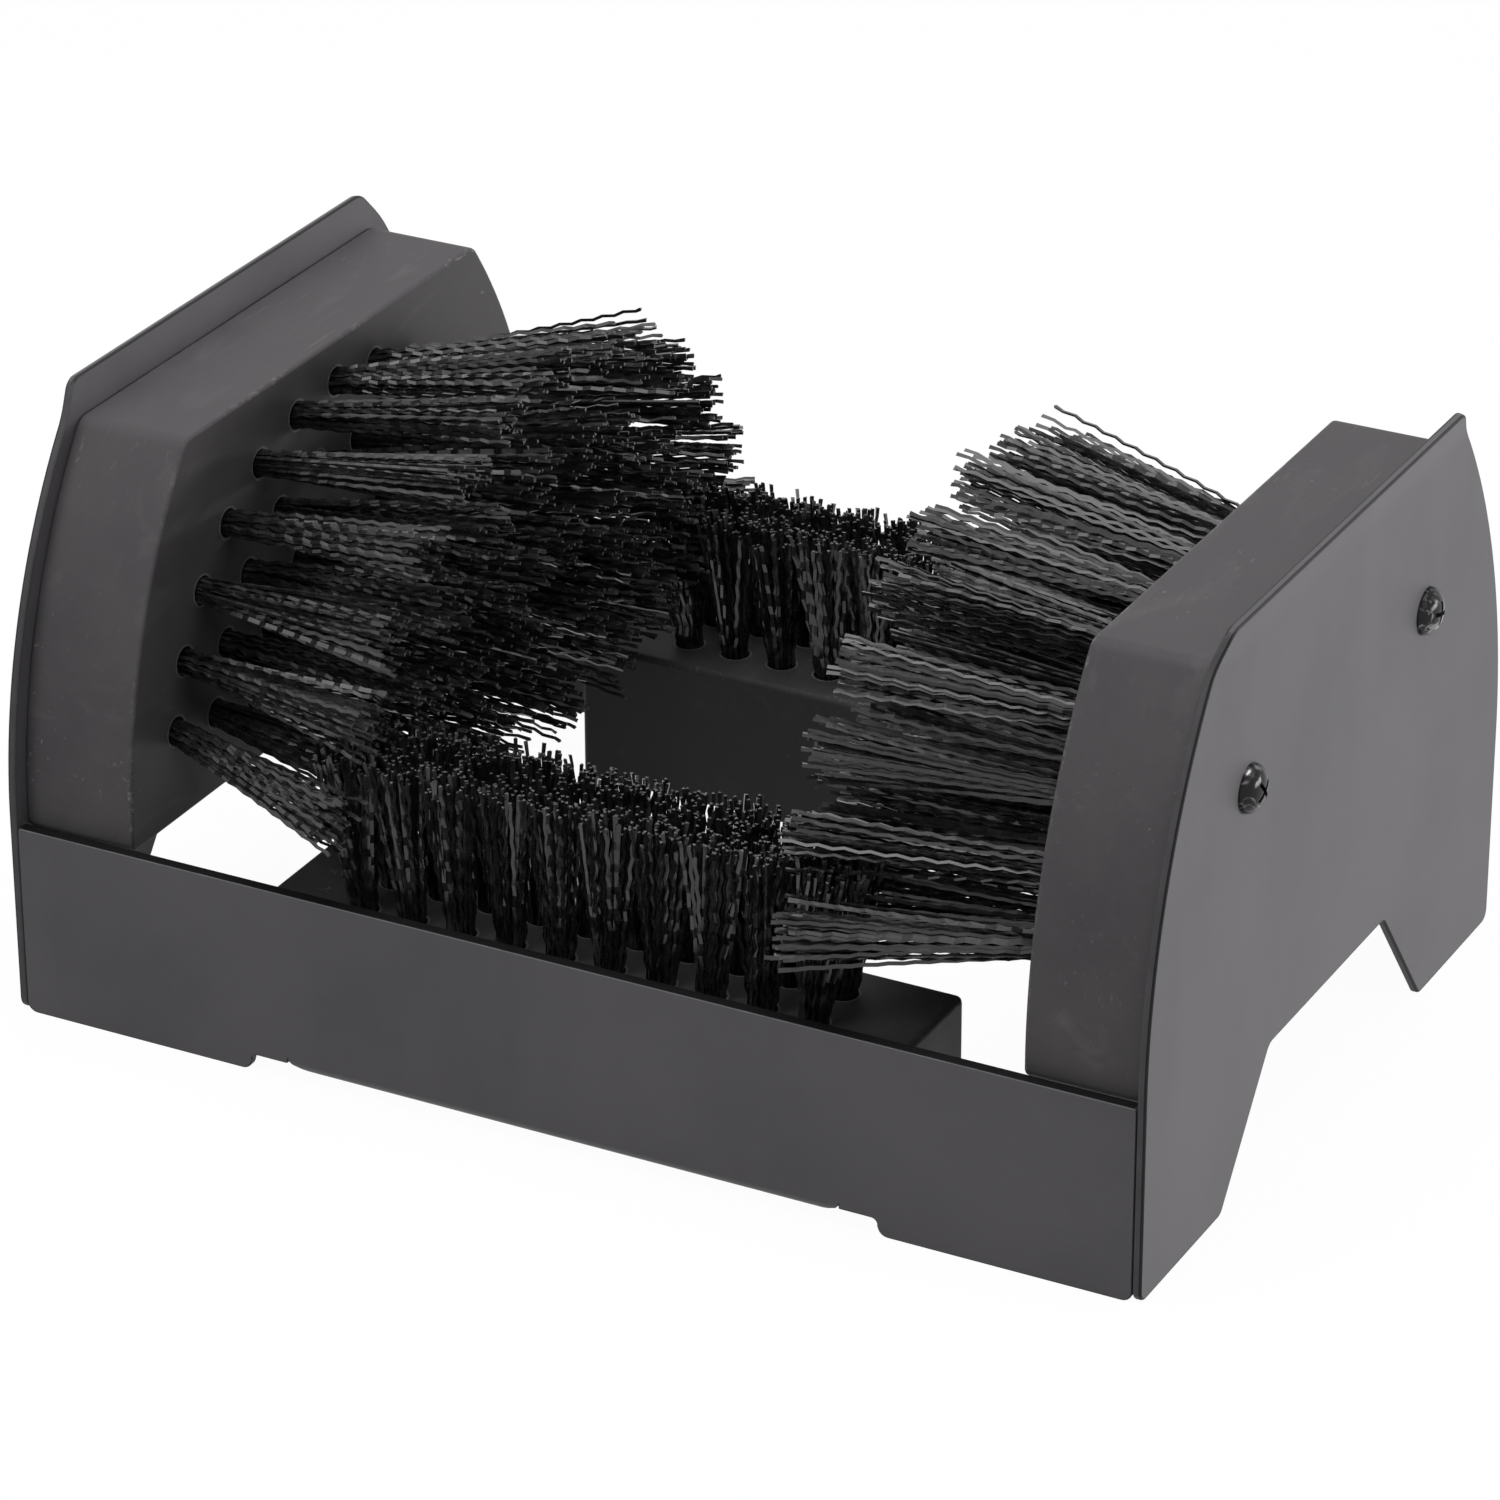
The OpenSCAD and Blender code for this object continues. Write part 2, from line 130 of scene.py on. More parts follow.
def round_corner_at(bm, point, reach):
    round_corners(bm, [vertex_at(bm, point)], reach)


def round_edges(bm, edges, radius, segments=3):
    """Rounds edges of a solid and returns the faces that this made."""
    made = bmesh.ops.bevel(bm, geom=edges, offset=radius, offset_type="OFFSET", segments=segments,
                           profile=0.5, affect="EDGES", material=-1, clamp_overlap=True)
    return made["faces"]


# %% [markdown]
# A photograph is easiest to match from the point where it was taken. The direction, distance and
# lens below were worked out from the places of the plates' corners in the photograph. The camera
# stands to the right of the front and looks down a little, through a long lens.

# %% The camera
IMAGE_PIXELS = 1500
FOCAL_PIXELS = 6431.6
SENSOR_MM = 36
CAMERA_TURN = math.radians(27.75)
CAMERA_TILT = math.radians(26.6)
CAMERA_ROLL = math.radians(-0.18)
CAMERA_AWAY = 1.558
LOOK_AT = Vector((0, 0, 0.070))
SLIDE_RIGHT = 2.95 * MM
SLIDE_UP = 10.03 * MM


def photograph_camera():
    back = Vector((math.sin(CAMERA_TURN) * math.cos(CAMERA_TILT),
                   -math.cos(CAMERA_TURN) * math.cos(CAMERA_TILT),
                   math.sin(CAMERA_TILT)))
    level = Vector((math.cos(CAMERA_TURN), math.sin(CAMERA_TURN), 0))
    rise = back.cross(level)
    right = level * math.cos(CAMERA_ROLL) + rise * math.sin(CAMERA_ROLL)
    up = rise * math.cos(CAMERA_ROLL) - level * math.sin(CAMERA_ROLL)
    eye = LOOK_AT + back * CAMERA_AWAY - right * SLIDE_RIGHT - up * SLIDE_UP
    data = bpy.data.cameras.new("photograph")
    data.sensor_width = SENSOR_MM
    data.lens = SENSOR_MM * FOCAL_PIXELS / IMAGE_PIXELS
    camera = bpy.data.objects.new("photograph", data)
    bpy.context.scene.collection.objects.link(camera)
    camera.matrix_world = Matrix((
        (right.x, up.x, back.x, eye.x),
        (right.y, up.y, back.y, eye.y),
        (right.z, up.z, back.z, eye.z),
        (0, 0, 0, 1)))
    bpy.context.scene.camera = camera
    print("lens", round(data.lens, 1), "mm, camera at", tuple(round(c, 3) for c in eye))


photograph_camera()

# %% [markdown]
# Every finish is a small network of nodes on the Principled shader. One function starts such a
# network and sets the plain numbers on the shader itself. The patterns read Object coordinates,
# so they stay in place on the pieces whichever way the object is looked at.

# %% Helpers for the finishes


def new_finish(name, color, roughness, specular=0.5, metallic=0.0):
    material = bpy.data.materials.new(name)
    material.use_nodes = True
    shader = material.node_tree.nodes["Principled BSDF"]
    shader.inputs["Base Color"].default_value = (*color, 1)
    shader.inputs["Roughness"].default_value = roughness
    shader.inputs["Specular IOR Level"].default_value = specular
    shader.inputs["Metallic"].default_value = metallic
    return material, material.node_tree, shader


def noise_at(tree, scale, detail=3.0, roughness=0.5, stretch=(1, 1, 1), distortion=0.0):
    """A cloudy pattern whose lumps are about 1 / scale metres wide."""
    where = tree.nodes.new("ShaderNodeTexCoord")
    place = tree.nodes.new("ShaderNodeMapping")
    place.inputs["Scale"].default_value = stretch
    cloud = tree.nodes.new("ShaderNodeTexNoise")
    cloud.inputs["Scale"].default_value = scale
    cloud.inputs["Detail"].default_value = detail
    cloud.inputs["Roughness"].default_value = roughness
    cloud.inputs["Distortion"].default_value = distortion
    tree.links.new(where.outputs["Object"], place.inputs["Vector"])
    tree.links.new(place.outputs["Vector"], cloud.inputs["Vector"])
    return cloud.outputs["Fac"]


def spread(tree, value, low, high, to_low=0.0, to_high=1.0):
    """Stretches the middle of a pattern so that low becomes to_low and high becomes to_high."""
    node = tree.nodes.new("ShaderNodeMapRange")
    node.inputs["From Min"].default_value = low
    node.inputs["From Max"].default_value = high
    node.inputs["To Min"].default_value = to_low
    node.inputs["To Max"].default_value = to_high
    tree.links.new(value, node.inputs["Value"])
    return node.outputs["Result"]


def between(tree, amount, first, second):
    """A colour that goes from the first to the second, by a pattern."""
    node = tree.nodes.new("ShaderNodeMix")
    node.data_type = "RGBA"
    tree.links.new(amount, node.inputs["Factor"])
    for socket, value in ((node.inputs[6], first), (node.inputs[7], second)):
        if isinstance(value, bpy.types.NodeSocket):
            tree.links.new(value, socket)
        else:
            socket.default_value = (*value, 1)
    return node.outputs[2]


def relief(tree, shader, height, strength, depth):
    """Adds fine relief to the shader, of a depth in metres."""
    bump = tree.nodes.new("ShaderNodeBump")
    bump.inputs["Strength"].default_value = strength
    bump.inputs["Distance"].default_value = depth
    tree.links.new(height, bump.inputs["Height"])
    tree.links.new(bump.outputs["Normal"], shader.inputs["Normal"])


# %% [markdown]
# Powder coat is melted on in an oven. It leaves a satin skin with a fine grain, and handling
# leaves faint smudges on it. A fine bump gives the grain, and a broad cloud shifts the colour
# and the gloss a little, which is what keeps a large dark plate from looking like plastic.

# %% Powder coat
COAT = (0.100, 0.095, 0.102)
COAT_PALE = (0.127, 0.121, 0.129)


def powder_coat():
    material, tree, shader = new_finish("satin powder coat", COAT, 0.5, specular=0.25)
    smudge = noise_at(tree, 14, detail=5, roughness=0.6)
    streak = noise_at(tree, 34, detail=3, stretch=(1, 1, 0.25))
    fine = noise_at(tree, 1400, detail=2)
    clouded = between(tree, spread(tree, smudge, 0.4, 0.62), COAT, COAT_PALE)
    tree.links.new(between(tree, spread(tree, streak, 0.45, 0.68, 0, 0.6), clouded, COAT_PALE),
                   shader.inputs["Base Color"])
    tree.links.new(spread(tree, smudge, 0.3, 0.7, 0.46, 0.56), shader.inputs["Roughness"])
    relief(tree, shader, fine, 0.18, 0.00006)
    return material


def edge_of_coat(name, color, roughness):
    """An edge colour of the coat with faint wear: the cuts' tone, and painted light on arrises."""
    material, tree, shader = new_finish(name, color, roughness, specular=0.2)
    wear = noise_at(tree, 160, detail=4, roughness=0.6)
    darker = tuple(c * 0.8 for c in color)
    tree.links.new(between(tree, spread(tree, wear, 0.35, 0.65), color, darker),
                   shader.inputs["Base Color"])
    return material


coat = powder_coat()
# Painted shade: outer arrises are painted near black, for the shade along rounded edges.
coat_painted_shade = edge_of_coat("coat with painted shade at an arris", (0.007, 0.0066, 0.007), 0.5)
coat_cut = edge_of_coat("coat on a cut", (0.085, 0.081, 0.086), 0.5)
# Painted highlight: a pale line along the side plates' outer top arris.
coat_painted_highlight = edge_of_coat("coat with a painted highlight", (0.2, 0.19, 0.2), 0.4)
# Painted shade: dark lines along the lip's top arrises.
coat_lip_painted_shade = edge_of_coat("coat with painted shade along the lip", (0.030, 0.028, 0.030), 0.5)
sheet_finishes = (coat, coat_painted_shade, coat_cut, coat_painted_highlight, coat_lip_painted_shade)
ON_FACE, ON_PAINTED_SHADE, ON_CUT, ON_PAINTED_HIGHLIGHT, ON_LIP_PAINTED_SHADE = range(len(sheet_finishes))
print("made", [finish.name for finish in sheet_finishes])

# %% [markdown]
# The blocks are taken as hardwood under dark paint. The paint follows the grain a little, dust
# sits on it in pale flecks, and rubbing has left long soft scuffs. Patterns of different sizes
# give that.

# %% Painted blocks
PAINT = (0.088, 0.083, 0.088)
PAINT_PALE = (0.116, 0.110, 0.114)
SCUFF = (0.25, 0.24, 0.245)


def both(tree, first, second):
    """Where two patterns meet."""
    node = tree.nodes.new("ShaderNodeMath")
    node.operation = "MULTIPLY"
    tree.links.new(first, node.inputs[0])
    tree.links.new(second, node.inputs[1])
    return node.outputs[0]


def block_paint(name, depth, worn):
    """Paint over wood; depth below 1 is darker, and worn is the share that is rubbed pale."""
    dark, pale, scuff = (tuple(c * depth for c in color) for color in (PAINT, PAINT_PALE, SCUFF))
    material, tree, shader = new_finish(name, dark, 0.55, specular=0.14)
    cloud = noise_at(tree, 34, detail=6, roughness=0.65)
    smear = noise_at(tree, 75, detail=4, roughness=0.6, stretch=(1, 0.3, 1), distortion=0.8)
    scratch = noise_at(tree, 700, detail=2, stretch=(1, 0.05, 0.4))
    flecks = noise_at(tree, 620, detail=3, roughness=0.7, stretch=(1, 0.6, 1))
    patches = noise_at(tree, 22, detail=2)
    tone = between(tree, spread(tree, cloud, 0.32, 0.72), dark, pale)
    tone = between(tree, spread(tree, smear, 0.56, 0.8, 0, 0.24), tone, scuff)
    lines = both(tree, spread(tree, scratch, 0.68, 0.78, 0, 0.5), spread(tree, cloud, 0.45, 0.6))
    tone = between(tree, lines, tone, scuff)
    dust = both(tree, spread(tree, flecks, 0.66 - worn, 0.74 - worn / 2),
                spread(tree, patches, 0.5 - worn, 0.65))
    tree.links.new(between(tree, dust, tone, scuff), shader.inputs["Base Color"])
    tree.links.new(spread(tree, cloud, 0.3, 0.7, 0.46, 0.62), shader.inputs["Roughness"])
    grain = noise_at(tree, 260, detail=4, roughness=0.6, stretch=(1, 0.12, 1))
    relief(tree, shader, grain, 0.35, 0.00015)
    return material


def block_paints(name, depth, dusty, rubbed):
    """A block's paint: on its faces, on its rounded edges, and paler round its holes."""
    # Round the holes the paint is paler, a painted highlight on the rims, with more dust.
    return (block_paint(name, depth, dusty), block_paint(name + ", rubbed", depth, rubbed),
            block_paint(name + ", painted highlight on hole rims", 1.4 * depth, 0.35))


ON_ROUNDED, ON_HOLE_RIM_HIGHLIGHT = 1, 2
end_paint = block_paints("painted hardwood", 1.0, 0.02, 0.15)
# Floor blocks: the same paint made darker, painted shade for the brushes' shade on them.
shaded_floor_paint = block_paints("painted hardwood, darkened as painted shade", 0.7, 0.03, 0.08)
print("made", [finish.name for finish in end_paint + shaded_floor_paint])

# %% [markdown]
# The bristles are black plastic filament. Dust makes some of them a shade greyer than others, and
# their flat sides give short bright glints, so the finish is smoother than the steel's.

# %% Bristle plastic
BRISTLE = (0.018, 0.0174, 0.0183)
BRISTLE_GREY = (0.062, 0.060, 0.062)
END_DARK = (0.05, 0.048, 0.05)
END_PALE = (0.18, 0.175, 0.18)
ON_END = 1


def bristle_plastic():
    material, tree, shader = new_finish("black filament", BRISTLE, 0.24, specular=0.55)
    dust = noise_at(tree, 190, detail=3, roughness=0.6)
    tree.links.new(between(tree, spread(tree, dust, 0.45, 0.75), BRISTLE, BRISTLE_GREY),
                   shader.inputs["Base Color"])
    tree.links.new(spread(tree, dust, 0.3, 0.7, 0.18, 0.3), shader.inputs["Roughness"])
    return material


def cut_end():
    material, tree, shader = new_finish("cut filament end", (0.2, 0.19, 0.2), 0.5, specular=0.4)
    tone = noise_at(tree, 400, detail=1)
    tree.links.new(between(tree, spread(tree, tone, 0.4, 0.65), END_DARK, END_PALE),
                   shader.inputs["Base Color"])
    return material


filament_finishes = (bristle_plastic(), cut_end())
print("made", [finish.name for finish in filament_finishes])

# %% [markdown]
# The screws are blacked steel with a hard gloss, and the steel shows where the blacking is thin.
# The staples inside the blocks are bare flat wire.

# %% Screws and staples
BLACKING = (0.01, 0.01, 0.011)
SCREW_STEEL = (0.2, 0.195, 0.195)


def black_gloss():
    material, tree, shader = new_finish("blacked screw", (0.012, 0.012, 0.013), 0.12,
                                        specular=0.22)
    thin = spread(tree, noise_at(tree, 210, detail=3, distortion=1.2), 0.53, 0.6)
    tree.links.new(between(tree, thin, BLACKING, SCREW_STEEL), shader.inputs["Base Color"])
    tree.links.new(thin, shader.inputs["Metallic"])
    wear = noise_at(tree, 900, detail=4)
    tree.links.new(spread(tree, wear, 0.3, 0.7, 0.08, 0.24), shader.inputs["Roughness"])
    relief(tree, shader, wear, 0.15, 0.00005)
    return material


def bare_wire():
    material, tree, shader = new_finish("flat wire", (0.5, 0.5, 0.5), 0.35, metallic=1.0)
    drawn = noise_at(tree, 1500, detail=2)
    tree.links.new(spread(tree, drawn, 0.3, 0.7, 0.28, 0.45), shader.inputs["Roughness"])
    return material


gloss = black_gloss()
wire = bare_wire()
print("made", gloss.name, "and", wire.name)

# %% [markdown]
# The sizes of the sheet come from the loaded frame where its boxes give them. The rest are the
# ones that the plates were drawn with. A corner's number says how far back its rounding starts.

# %% Sizes of the frame
side_low, side_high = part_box("rear_side_plate")
block_low, block_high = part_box("right_end_block")
floor_low, floor_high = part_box("rear_floor_block")

SHEET = 2.2 * MM
BEND_R = 2.5 * MM
LIP_R = 24 * MM
INNER_X = side_high.x
HALF_W = side_high.y
PLATE_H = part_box("right_end_plate")[1].z
SHOULDER = 52 * MM
SIDE_R = 156 * MM
LIP_Z = block_high.z
LIP_START = LIP_Z - 2 * MM
LIP_ANGLE = math.radians(14)
NOTCH_H = 32.5 * MM
NOTCH_BOTTOM = 59.5 * MM
NOTCH_TOP = 34 * MM
COAT_EDGE = 0.6 * MM
LIP_EDGE = 1.2 * MM
NOTCH_CORNER = 1.6 * MM
FOOT_CORNER = 1.4 * MM
OUTER_CORNER = 3 * MM
LIP_CORNER = 2.4 * MM
FOOT_L = 64 * MM
RELIEF_L = 10 * MM
RELIEF_Z = 4.3 * MM
RELIEF_SLOPE = 2.2
FLANGE_LIFT = 1.5 * MM
SIDE_CORNER = 2.6 * MM
RELIEF_CORNER = 2 * MM
TOP_CORNER = 1.1 * MM
ARC_STEPS = 24
BEND_STEPS = 6
print("the frame is", round(2 * INNER_X / MM), "mm long inside and",
      round(2 * HALF_W / MM), "mm wide")


def half_width(z, inset=0.0):
    """Half width of an end outline at a height, set in from the plate's edge."""
    if z <= SHOULDER:
        return HALF_W - inset
    return HALF_W - SIDE_R + math.sqrt((SIDE_R - inset) ** 2 - (z - SHOULDER) ** 2)


def flank(bm, start, top, inset=0.0):
    """The curved side of an end outline, spun as an arc from one height to another."""
    centre = Vector((INNER_X, HALF_W - SIDE_R, SHOULDER))
    first = bm.verts.new((INNER_X, half_width(start, inset), start))
    from_angle = math.asin((start - SHOULDER) / (SIDE_R - inset))
    to_angle = math.asin((top - SHOULDER) / (SIDE_R - inset))
    arc = bmesh.ops.spin(bm, geom=[first], cent=centre, axis=(1, 0, 0), dvec=(0, 0, 0),
                         angle=to_angle - from_angle, steps=ARC_STEPS)
    last = [v for v in arc["geom_last"] if isinstance(v, bmesh.types.BMVert)][0]
    return first, last


def fill_outline(bm):
    """Mirrors half an outline across the middle and fills it with one face."""
    bmesh.ops.mirror(bm, geom=bm.verts[:] + bm.edges[:], matrix=Matrix.Identity(4),
                     merge_dist=SAME_PLACE, axis="Y")
    bmesh.ops.remove_doubles(bm, verts=bm.verts, dist=SAME_PLACE)
    bmesh.ops.contextual_create(bm, geom=bm.edges[:])


def thicken(bm, drawn_side):
    """Thickens a folded blank behind its drawn side, and rounds, marks and darkens its cut edges.
    """
    bmesh.ops.recalc_face_normals(bm, faces=bm.faces)
    widest = max(bm.faces, key=lambda f: f.calc_area())
    if widest.normal.dot(Vector(drawn_side)) < 0:
        bmesh.ops.reverse_faces(bm, faces=bm.faces)
    bmesh.ops.solidify(bm, geom=bm.faces[:], thickness=SHEET)
    bmesh.ops.recalc_face_normals(bm, faces=bm.faces)
    sharp = [e for e in bm.edges if e.is_manifold and e.calc_face_angle() > math.radians(60)]
    for face in bm.faces:
        if sum(abs(e.calc_length() - SHEET) < 0.05 * SHEET for e in face.edges) > 1:
            face.material_index = ON_CUT
    # The rounded arrises are painted near black: painted shade.
    for face in round_edges(bm, sharp, COAT_EDGE):
        face.material_index = ON_PAINTED_SHADE


# %% [markdown]
# An end plate is cut flat, with two feet round a notch, and its top is then folded outwards.
# The code does the same: half an outline, mirrored and filled, then the top edge is spun round
# the bend and drawn out as the lip. Solidify gives the sheet its thickness at the very end, so the
# fold is as thick as the rest, and a small bevel stands for the coat that rounds every cut edge.
# Along the top of the lip both arrises are painted dark: two lines of painted shade.

# %% The end plates
BESIDE_MIDDLE = 10 * MM


def end_plate(side, name):
    bm = bmesh.new()
    start, top = flank(bm, SHOULDER, LIP_START)
    foot = chain(bm, [(INNER_X, 0, NOTCH_H), (INNER_X, NOTCH_TOP, NOTCH_H),
                      (INNER_X, NOTCH_BOTTOM, 0), (INNER_X, HALF_W, 0)])
    bm.edges.new((foot[-1], start))
    middle = bm.verts.new((INNER_X, 0, LIP_START))
    bm.edges.new((top, middle))
    fill_outline(bm)
    for sign in (-1, 1):
        round_corner_at(bm, (INNER_X, sign * NOTCH_TOP, NOTCH_H), NOTCH_CORNER)
        round_corner_at(bm, (INNER_X, sign * NOTCH_BOTTOM, 0), FOOT_CORNER)
        round_corner_at(bm, (INNER_X, sign * HALF_W, 0), OUTER_CORNER)
    edge = [e for e in bm.edges if all(abs(v.co.z - LIP_START) < SAME_PLACE for v in e.verts)]
    bend = bmesh.ops.spin(bm, geom=edge, cent=(INNER_X + LIP_R, 0, LIP_START), axis=(0, 1, 0),
                          dvec=(0, 0, 0), angle=LIP_ANGLE, steps=BEND_STEPS)
    edge = [e for e in bend["geom_last"] if isinstance(e, bmesh.types.BMEdge)]
    lip = bmesh.ops.extrude_edge_only(bm, edges=edge)["geom"]
    tips = [v for v in lip if isinstance(v, bmesh.types.BMVert)]
    rise = PLATE_H - tips[0].co.z
    bmesh.ops.translate(bm, verts=tips, vec=(rise * math.tan(LIP_ANGLE), 0, rise))
    for v in bm.verts:
        if v.co.z > LIP_START + SAME_PLACE and abs(v.co.y) > BESIDE_MIDDLE:
            v.co.y = math.copysign(half_width(v.co.z), v.co.y)
    round_corners(bm, [v for v in tips if abs(v.co.y) > BESIDE_MIDDLE], LIP_CORNER)
    thicken(bm, (-1, 0, 0))
    # Painted shade on the lip's top arrises; arrises facing inwards get the cut's tone.
    for face in bm.faces:
        if face.calc_center_median().z > PLATE_H - LIP_EDGE:
            face.material_index = ON_LIP_PAINTED_SHADE if face.material_index == ON_PAINTED_SHADE else ON_FACE
        elif face.material_index == ON_PAINTED_SHADE and face.normal.x < 0:
            face.material_index = ON_CUT
    turned_to(bm, side)
    even_shading(finish_piece(bm, name + "_sheet", sheet_finishes, [name]))


end_plate(-1, "left_end_plate")
end_plate(1, "right_end_plate")

# %% [markdown]
# A side plate has a foot at each end and a flange that is folded under the frame between them.
# A relief cut beside each foot lets the flange fold without tearing the corner, and the end of
# the flange slopes away from it. In the photograph the top edge looks thicker than the sheet, as
# if it was turned in. A rounded bar sunk in the back of the sheet stands for that part. Along the
# top the cut face and the bar are painted near black as painted shade, and the outer arris is
# painted pale as a painted highlight.

# %% The side plates
TURNED_IN = Vector((2 * INNER_X - 0.6 * MM, 1.5 * MM, 6 * MM))
TURNED_IN_R = 0.6 * MM
BELOW_TOP = 0.08 * MM


def turned_in_edge():
    """The turned-in part of the top edge, its top painted dark, as a mesh to join to the plate."""
    size = TURNED_IN + Vector((0, SHEET / 2, 0))
    middle = Vector((0, HALF_W - SHEET - TURNED_IN.y + size.y / 2,
                     side_high.z - size.z / 2 - BELOW_TOP))
    bm = bar(size, middle)
    inner = [e for e in bm.edges if all(v.co.y < middle.y for v in e.verts)]
    round_edges(bm, inner, TURNED_IN_R, 4)
    # Its top is painted near black: painted shade.
    for face in bm.faces:
        if face.normal.z > 0.3:
            face.material_index = ON_PAINTED_SHADE
    return mesh_of(bm, "turned-in edge")


def side_plate(side, name):
    bend_z = FLANGE_LIFT + SHEET + BEND_R
    flange_x = INNER_X - FOOT_L - RELIEF_L
    foot_x = INNER_X - FOOT_L
    y = HALF_W
    bm = bmesh.new()
    half = [(flange_x, y, bend_z), (flange_x, y, RELIEF_Z), (foot_x, y, RELIEF_Z), (foot_x, y, 0),
            (INNER_X, y, 0), (INNER_X, y, side_high.z)]
    points = half + [(-p[0], p[1], p[2]) for p in reversed(half)]
    verts = chain(bm, points)
    bend_edge = bm.edges.new((verts[-1], verts[0]))
    bmesh.ops.contextual_create(bm, geom=bm.edges[:])
    bend = bmesh.ops.spin(bm, geom=[bend_edge], cent=(0, y - SHEET - BEND_R, bend_z),
                          axis=(1, 0, 0), dvec=(0, 0, 0), angle=-math.pi / 2,
                          steps=BEND_STEPS)
    edge = [e for e in bend["geom_last"] if isinstance(e, bmesh.types.BMEdge)]
    flange = bmesh.ops.extrude_edge_only(bm, edges=edge)["geom"]
    ends = [v for v in flange if isinstance(v, bmesh.types.BMVert)]
    bmesh.ops.translate(bm, verts=ends, vec=(0, side_low.y - ends[0].co.y, 0))
    bmesh.ops.remove_doubles(bm, verts=bm.verts, dist=SAME_PLACE)
    for v in bm.verts:
        if v.co.z < RELIEF_Z and abs(abs(v.co.x) - flange_x) < SAME_PLACE:
            v.co.x -= math.copysign((RELIEF_Z - v.co.z) * RELIEF_SLOPE, v.co.x)
    flange_end = max(v.co.x for v in bm.verts if v.co.y < side_low.y + SAME_PLACE)
    for sign in (-1, 1):
        round_corner_at(bm, (sign * foot_x, y, 0), SIDE_CORNER)
        round_corner_at(bm, (sign * foot_x, y, RELIEF_Z), RELIEF_CORNER)
        round_corner_at(bm, (sign * INNER_X, y, 0), SIDE_CORNER)
        round_corner_at(bm, (sign * INNER_X, y, side_high.z), TOP_CORNER)
        round_corner_at(bm, (sign * flange_end, side_low.y, FLANGE_LIFT), RELIEF_CORNER)
    thicken(bm, (0, 1, 0))
    for face in bm.faces:
        if face.calc_center_median().z > side_high.z - COAT_EDGE:
            # Top cut face painted near black: painted shade.
            if face.normal.z > 0.95:
                face.material_index = ON_PAINTED_SHADE
            # Outer top arris painted pale: a painted highlight.
            elif face.normal.y > 0.2 and face.normal.z > 0.2:
                face.material_index = ON_PAINTED_HIGHLIGHT
    edge = turned_in_edge()
    bm.from_mesh(edge)
    bpy.data.meshes.remove(edge)
    turned_to(bm, side)
    even_shading(finish_piece(bm, name + "_sheet", sheet_finishes, [name]))


side_plate(-1, "front_side_plate")
side_plate(1, "rear_side_plate")

# %% [markdown]
# The tufts stand in drilled holes. On an end block they follow nested arcs round one middle tuft,
# and on a floor block they stand in two straight rows. Both the holes and the bristles use these
# places, so they are worked out once here.

# %% Places of the tufts
TUFT_HOLE_R = 3.5 * MM
ARC_HALF_W = 79 * MM
ARC_RISE = 73 * MM
ARC_Z = 60 * MM
ARC_SPAN = math.radians(81)
ARC_PITCH = 18 * MM
ARC_DROPS = (0, 18 * MM, 36 * MM, 54 * MM)
MIDDLE_LIFT = 2 * MM
FLOOR_TUFTS = 10
FLOOR_PITCH = 13.3 * MM
FLOOR_ROW_GAP = 15 * MM


def arc_of_tufts(wide, high):
    """Places along one arc, as (y, z), at about the same pitch on every arc."""
    run = 2 * ARC_SPAN * math.sqrt((wide ** 2 + high ** 2) / 2)
    steps = max(2, round(run / ARC_PITCH))
    angles = [ARC_SPAN * (2 * i / steps - 1) for i in range(steps + 1)]
    return [(wide * math.sin(a), ARC_Z + high * math.cos(a)) for a in angles]


end_arcs = [arc_of_tufts(ARC_HALF_W - drop, ARC_RISE - drop) for drop in ARC_DROPS]
end_arcs[-1].append((0.0, ARC_Z + MIDDLE_LIFT))
floor_middle_y = (floor_low.y + floor_high.y) / 2
floor_places = [((i - (FLOOR_TUFTS - 1) / 2) * FLOOR_PITCH,
                 floor_middle_y + row * FLOOR_ROW_GAP / 2)
                for i in range(FLOOR_TUFTS) for row in (-1, 1)]
print([len(arc) for arc in end_arcs], "tufts on an end block,",
      len(floor_places), "on a floor block")

# %% [markdown]
# The blocks are sawn, rounded along their edges and drilled. Each starts as its outline or as a
# cube, gets its rounded edges by bevel, and is then drilled with a Boolean, as the real one is
# drilled last. One cutter holds all the drills. A drill is turned with a flat cone at its
# shoulder, and the narrow ring that it leaves round each hole gets paler, dustier paint: a
# painted highlight on the hole rims, with dust flecks.

# %% The blocks
BLOCK_INSET = 4.5 * MM
BLOCK_DROP = 3.0 * MM
HOLE_DEPTH = 7 * MM
HOLE_EDGE = 0.06 * MM
HOLE_RING = 0.6 * MM
HOLE_R = TUFT_HOLE_R + 0.2 * MM
FLANK_START = SHOULDER + 4 * MM
BLOCK_CORNER = 2.4 * MM
FRONT_EDGE_R = 1.0 * MM
BACK_EDGE_R = 0.8 * MM
FLOOR_EDGE_R = 1.8 * MM
FACE_X = INNER_X - 30 * MM
FLOOR_TOP = floor_high.z + 4 * MM


